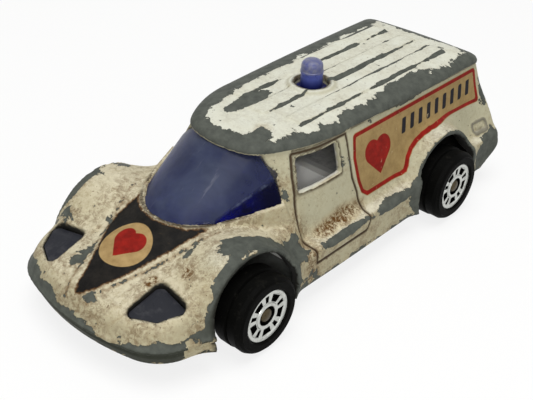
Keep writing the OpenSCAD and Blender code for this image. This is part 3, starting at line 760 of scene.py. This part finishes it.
def cast_paint():
    p = Paint("chipped_cast_paint")
    x, y, z = p.split(p.where)
    facing_up = p.facing()[2]
    big = p.noise(4.8, 7, 0.66, 0.4)
    mid = p.noise(1.5, 5, 0.6)
    fine = p.noise(0.45, 4, 0.6)
    grime = p.field("grime")
    dust = p.times(grime, p.ramp(p.noise(1.1, 10, 0.8, 0.3), 0.45, 0.62))
    dust = p.times(dust, p.ramp(p.noise(6.0, 4, 0.6), 0.4, 0.62, 0.3, 1.0))
    enamel = cream_enamel(p, facing_up, dust, grime, big)
    enamel = dirty_lines(p, printed(p, enamel, mid), mid)

    # Paint that has chipped away to dull zinc, also along ribs and edges
    jag = p.plus(p.ramp(big, 0.25, 0.75, -1.9, 1.9), p.ramp(mid, 0.25, 0.75, -0.55, 0.55))
    jag = p.plus(jag, p.ramp(fine, 0.25, 0.75, -0.15, 0.15))
    loose = p.ramp(p.noise(2.2, 5, 0.65), 0.67, 0.9, -0.1, 3.0)
    loose = p.minus(loose, p.times(p.inside("label", 0.2), 4.0))
    loose = p.minus(loose, p.times(p.inside("decal", 0.3), 4.0))
    worn_step = p.minus(p.ramp(mid, 0.45, 0.62, -0.2, 0.45), p.field("panel"))
    chip = p.most(p.plus(p.field("wear"), jag), loose)
    chip = p.most(chip, p.most(rib_wear(p, x, y, z), worn_step))
    bare = p.ramp(chip, -0.03, 0.05)
    zinc = p.mix(p.ramp(mid, 0.3, 0.7), ZINC, ZINC_PALE)
    zinc = p.mix(p.ramp(p.noise(0.7, 6, 0.7), 0.58, 0.74, 0.0, 0.5), zinc, ZINC_SPOT)
    # Painted shade: bare zinc at the nose is darker on faces that don't look up
    nose = p.times(p.ramp(facing_up, 0.1, 0.5, 1.0, 0.0), p.ramp(y, -0.035, -0.031, 1.0, 0.0))
    zinc = p.mix(p.times(nose, 0.8), zinc, ZINC_NOSE_IN_PAINTED_SHADE)
    # Painted shadow: bare zinc is darker just inside the edge of the paint
    zinc = p.mix(p.ramp(chip, 0.0, 0.22, 0.55, 0.0), zinc, ZINC_IN_PAINTED_EDGE_SHADOW)
    colour = p.mix(bare, enamel, zinc)
    colour = p.mix(p.field("inside"), colour, INNER_FACE)
    colour = p.mix(p.field("shade"), colour, SHADE)

    normal = p.bump(p.minus(1.0, bare), 0.14, 0.8)
    normal = p.bump(p.plus(p.times(fine, 0.5), p.times(dust, 0.5)), 0.05, 0.5, normal)
    rough = p.plus(p.ramp(fine, 0.3, 0.7, 0.34, 0.5), p.times(dust, 0.3), True)
    rough = p.most(rough, p.times(bare, 0.52))
    return p.finish(p.shader(Base_Color=colour, Roughness=rough, Normal=normal, Specular_IOR_Level=0.04))


def blue_glass(name, deep, haze, cloud):
    """Clear blue moulding with a film of dust and a painted highlight along its fold. Its side panes are
    cleaner, with painted light low in front and painted shade higher up and towards the back.
    """
    p = Paint(name)
    x, y, z = p.split(p.where)
    fold = p.minus(p.plain(x), p.times(y, 0.27))
    fold = p.times(p.minus(fold, 0.0147), 1 / MM)
    pane = p.ramp(fold, -0.25, 0.25)
    # Film of dust, which lies on faces that look up, scratches and specks, and a painted highlight along the
    # fold
    lying = p.ramp(p.facing()[2], 0.35, 0.8)
    smear = p.ramp(p.noise(7.0, 6, 0.6, 0.5), 0.3, 0.7, 0.4, 1.0)
    scratch = p.ramp(p.noise(1.2, 6, 0.7, squeeze=(1, 0.15, 0.15)), 0.62, 0.7, 0.0, 0.35)
    dust = p.ramp(p.noise(0.5, 3, 0.6), 0.7, 0.76, 0.0, 0.5)
    dust_film_and_fold_highlight = p.times(p.times(lying, smear), cloud)
    dust_film_and_fold_highlight = p.times(dust_film_and_fold_highlight, p.ramp(pane, 0.0, 1.0, 1.0, 0.05))
    fold_highlight = p.ramp(p.plain(fold), 0.05, 0.3, 0.6, 0.0)
    fold_highlight = p.times(fold_highlight, p.ramp(p.noise(1.6, 6, 0.7), 0.45, 0.6))
    scratches_and_fold_highlight = p.most(fold_highlight, p.times(p.plus(scratch, dust), 0.45))
    dust_film_and_fold_highlight = p.most(dust_film_and_fold_highlight, scratches_and_fold_highlight, True)
    # Painted light and shade in the blue: bright low in front, darker higher up, towards the back and in
    # random patches. The side panes take it fully, the front pane in random patches.
    away = p.most(p.ramp(z, 0.018, 0.0225), p.ramp(y, -0.0205, -0.0155))
    away = p.most(away, p.ramp(p.noise(2.4, 4, 0.6), 0.4, 0.65))
    side_blue_painted_light_and_shade = p.mix(away, lin(10, 16, 150), lin(*scaled(deep, 0.62)))
    uneven = p.most(pane, p.ramp(p.noise(4.0), 0.3, 0.7, 0.0, 0.5))
    blue = p.mix(uneven, lin(*deep), side_blue_painted_light_and_shade)
    gloss = p.ramp(smear, 0.55, 1.0, 0.12, 0.24)
    normal = p.bump(p.noise(0.8, 4, 0.6), 0.01, 0.4)
    film_colour = p.mix(scratch, lin(*haze), lin(150, 152, 160))
    glass = p.shader(Base_Color=blue, Roughness=gloss, Normal=normal, Transmission_Weight=0.8, IOR=1.15)
    film = p.shader(Base_Color=film_colour, Roughness=0.4, Normal=normal, Specular_IOR_Level=0.1)
    return p.finish(p.blend(dust_film_and_fold_highlight, glass, film))


def lamp_blue():
    """Blue lamp, darker by painted shade low in the hole, bright above it, with a scuffed paler top."""
    p = Paint("lamp_blue_clear")
    z = p.split(p.where)[2]
    grain = p.noise(0.9, 6, 0.7)
    # Painted shade: the blue darkens low down in the hole in the roof
    colour = p.mix(p.ramp(z, 0.0284, 0.0302), lin(22, 26, 92), lin(76, 90, 178))
    scuffed = p.times(p.ramp(z, 0.0309, 0.0313), p.ramp(grain, 0.3, 0.6, 0.5, 1.0))
    scuff = p.mix(p.ramp(grain, 0.35, 0.7), lin(96, 100, 136), lin(140, 140, 160))
    colour = p.mix(scuffed, colour, scuff)
    gloss = p.ramp(grain, 0.3, 0.7, 0.25, 0.45)
    normal = p.bump(grain, 0.04, 0.6)
    return p.finish(p.shader(
        Base_Color=colour, Roughness=gloss, Normal=normal, Transmission_Weight=0.35, Specular_IOR_Level=0.3,
    ))


def dusty(name, dark, pale, rough, metal=0.0, size=1.2, depth=0.03, amount=(0.5, 0.75), shine=0.5,
          upper=None, painted_shade_walls=None):
    """A moulded or plated surface with fine grain, dust in it and uneven gloss.

    upper is the colour of faces in the cabin that look up; painted_shade_walls is a dark colour of painted
    shade on faces that don't look along x.
    """
    p = Paint(name)
    grain = p.noise(size, 7, 0.65, 0.2)
    tiny = p.noise(size * 0.25, 4, 0.6)
    between = [0.5 * (a + b) for a, b in zip(dark, pale)]
    colour = p.mix(p.ramp(grain, amount[0], amount[1]), lin(*dark), lin(*pale))
    colour = p.mix(p.ramp(tiny, 0.64, 0.74, 0.0, 0.4), colour, lin(*between))
    if upper:
        in_cabin = p.ramp(p.split(p.where)[1], -0.008, -0.002)
        cabin_floor = p.times(p.ramp(p.facing()[2], 0.5, 0.8), in_cabin)
        cabin_colour = p.mix(p.ramp(grain, 0.4, 0.7), lin(*upper), lin(*scaled(upper, 0.8)))
        colour = p.mix(cabin_floor, colour, cabin_colour)
    if painted_shade_walls:
        # Painted shade: faces that don't look along x take a dark colour
        colour = p.mix(p.ramp(p.plain(p.facing()[0]), 0.4, 0.65), lin(*painted_shade_walls), colour)
    gloss = p.ramp(grain, 0.3, 0.7, rough - 0.08, rough + 0.1)
    normal = p.bump(p.plus(p.times(grain, 0.6), p.times(tiny, 0.4)), depth, 0.6)
    return p.finish(p.shader(
        Base_Color=colour, Roughness=gloss, Normal=normal, Metallic=metal, Specular_IOR_Level=shine,
    ))


# Body and glazing

CAST_CELL, GLASS_CELL = 0.425, 0.3

verts, quads = surface_net(casting, (0, -49.8, 3.2), (21.6, 49.8, 29.6), CAST_CELL)
verts = settle(casting, verts)
_, normals = slope(casting, verts)
normals /= np.maximum(np.linalg.norm(normals, axis=1), 1e-6)[:, None]
body = mesh_object("cast_body", verts, quads, print_fields(verts, normals))
body.data.materials.append(cast_paint())
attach(body, "car")
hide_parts("body_shell")

verts, quads = surface_net(glazing, (0, -31, 15.5), (15, -12, 27), GLASS_CELL)
verts = settle(glazing, verts)
glass = mesh_object("front_glazing", verts, quads)
glass.data.materials.append(blue_glass("blue_clear_screen", (12, 16, 110), (80, 88, 106), 0.6))
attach(glass, "car")
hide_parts("screen_glazing")

# Finishes of the pieces that keep the solids' own shape: the longest key found in a name counts

finishes = {
    "rear_window": blue_glass("blue_clear_rear", (16, 19, 120), (74, 82, 104), 0.5),
    "roof_beacon": lamp_blue(),
    "headlight_lens": dusty("lens_smoke", (42, 43, 48), (66, 66, 69), 0.34, size=2.2, depth=0.02, shine=0.05),
    "interior_tray": dusty("pale_moulding", (240, 239, 232), (226, 223, 212), 0.5, size=3.0),
    "base_plate": dusty(
        "cast_base", (88, 90, 87), (70, 70, 66), 0.5, size=1.6, depth=0.05, amount=(0.45, 0.7), shine=0.3,
        upper=(226, 225, 218),
    ),
    "axle": dusty("axle_metal", (74, 66, 48), (40, 35, 26), 0.38, metal=0.9, size=0.6),
    "tyre": dusty(
        "black_wheel", (9, 9, 8), (36, 35, 31), 0.5, size=1.5, depth=0.05, amount=(0.58, 0.85), shine=0.02,
    ),
    # Painted shade on the hub's faces that don't look along x, in its windows and bore
    "hub": dusty(
        "bright_plate", (196, 198, 193), (140, 140, 134), 0.34, metal=0.75, size=0.9, amount=(0.5, 0.8),
        painted_shade_walls=(14, 14, 13),
    ),
    "rivet": dusty("rivet_metal", (150, 150, 146), (104, 104, 98), 0.36, metal=0.85, size=0.8),
}
for name, obj in nodes.items():
    if obj.hide_render:
        continue
    key = max((k for k in finishes if k in name), key=len)
    obj.data.materials.clear()
    obj.data.materials.append(finishes[key])

# Floor, light and camera

FLOOR_RADIUS = 3.0
FLOOR_GLOW = 0.8
WORLD_LEVEL = 0.2
LOOK_AT = Vector((0, 0, 0.015))
# Place, size and power of each lamp
SOFTBOXES = {
    "key": ((0.04, -0.06, 0.66), 0.5, 3.3),
    "side": ((0.295, -0.342, 0.295), 0.14, 0.95),
    "fill": ((0.60, 0.20, 0.25), 0.4, 0.15),
}
# Camera fitted to the photo: place, then angles round the car, above the floor and about the view
CAMERA_AT = (0.09882, -0.112336, 0.104698)
CAMERA_ANGLES = (41.9307, 33.1999, 1.4528)
CAMERA_LENS = 62.423

bpy.ops.mesh.primitive_circle_add(vertices=64, radius=FLOOR_RADIUS, fill_type="NGON", location=(0, 0, 0))
floor = bpy.context.object
floor.name = "floor"
p = Paint("pale_floor")
rays = p.node("ShaderNodeLightPath").outputs
seen = p.plus(p.plus(rays["Is Camera Ray"], rays["Is Glossy Ray"]), rays["Is Transmission Ray"], True)
matte = p.shader(Base_Color=lin(244, 244, 242), Roughness=0.8)
glow = p.node("ShaderNodeEmission")
glow.inputs["Color"].default_value = (1, 1, 1, 1)
floor.data.materials.append(p.finish(p.blend(p.times(seen, FLOOR_GLOW), matte, glow)))

# The world is white to the camera, in reflections and through glass, and gives little light
world = bpy.data.worlds.new("studio")
bpy.context.scene.world = world
world.use_nodes = True
tree = world.node_tree
tree.nodes.clear()
path = tree.nodes.new("ShaderNodeLightPath").outputs
white = path["Is Camera Ray"]
for ray in ("Is Transmission Ray", "Is Glossy Ray"):
    either = tree.nodes.new("ShaderNodeMath")
    either.operation = "ADD"
    either.use_clamp = True
    tree.links.new(white, either.inputs[0])
    tree.links.new(path[ray], either.inputs[1])
    white = either.outputs[0]
level = tree.nodes.new("ShaderNodeMapRange")
tree.links.new(white, level.inputs[0])
level.inputs[3].default_value = WORLD_LEVEL
level.inputs[4].default_value = 1.0
sky = tree.nodes.new("ShaderNodeBackground")
sky.inputs["Color"].default_value = (1, 1, 1, 1)
tree.links.new(level.outputs[0], sky.inputs["Strength"])
tree.links.new(sky.outputs[0], tree.nodes.new("ShaderNodeOutputWorld").inputs["Surface"])

for name, (at, size, power) in SOFTBOXES.items():
    lamp = bpy.data.lights.new(name, "AREA")
    lamp.shape = "DISK"
    lamp.size = size
    lamp.energy = power
    softbox = bpy.data.objects.new(name, lamp)
    bpy.context.scene.collection.objects.link(softbox)
    softbox.location = at
    softbox.rotation_euler = (LOOK_AT - Vector(at)).to_track_quat("-Z", "Y").to_euler()

az, el, roll = (math.radians(a) for a in CAMERA_ANGLES)
back = Vector((math.sin(az) * math.cos(el), -math.cos(az) * math.cos(el), math.sin(el)))
right = Vector((math.cos(az), math.sin(az), 0))
up = back.cross(right)
right, up = right * math.cos(roll) + up * math.sin(roll), up * math.cos(roll) - right * math.sin(roll)
lens = bpy.data.cameras.new("camera")
lens.sensor_width = 36
lens.lens = CAMERA_LENS
lens.clip_start = 0.01
camera = bpy.data.objects.new("camera", lens)
bpy.context.scene.collection.objects.link(camera)
camera.matrix_world = Matrix((
    (right.x, up.x, back.x, CAMERA_AT[0]),
    (right.y, up.y, back.y, CAMERA_AT[1]),
    (right.z, up.z, back.z, CAMERA_AT[2]),
    (0, 0, 0, 1),
))
bpy.context.scene.camera = camera
bpy.context.scene.view_settings.view_transform = "Standard"
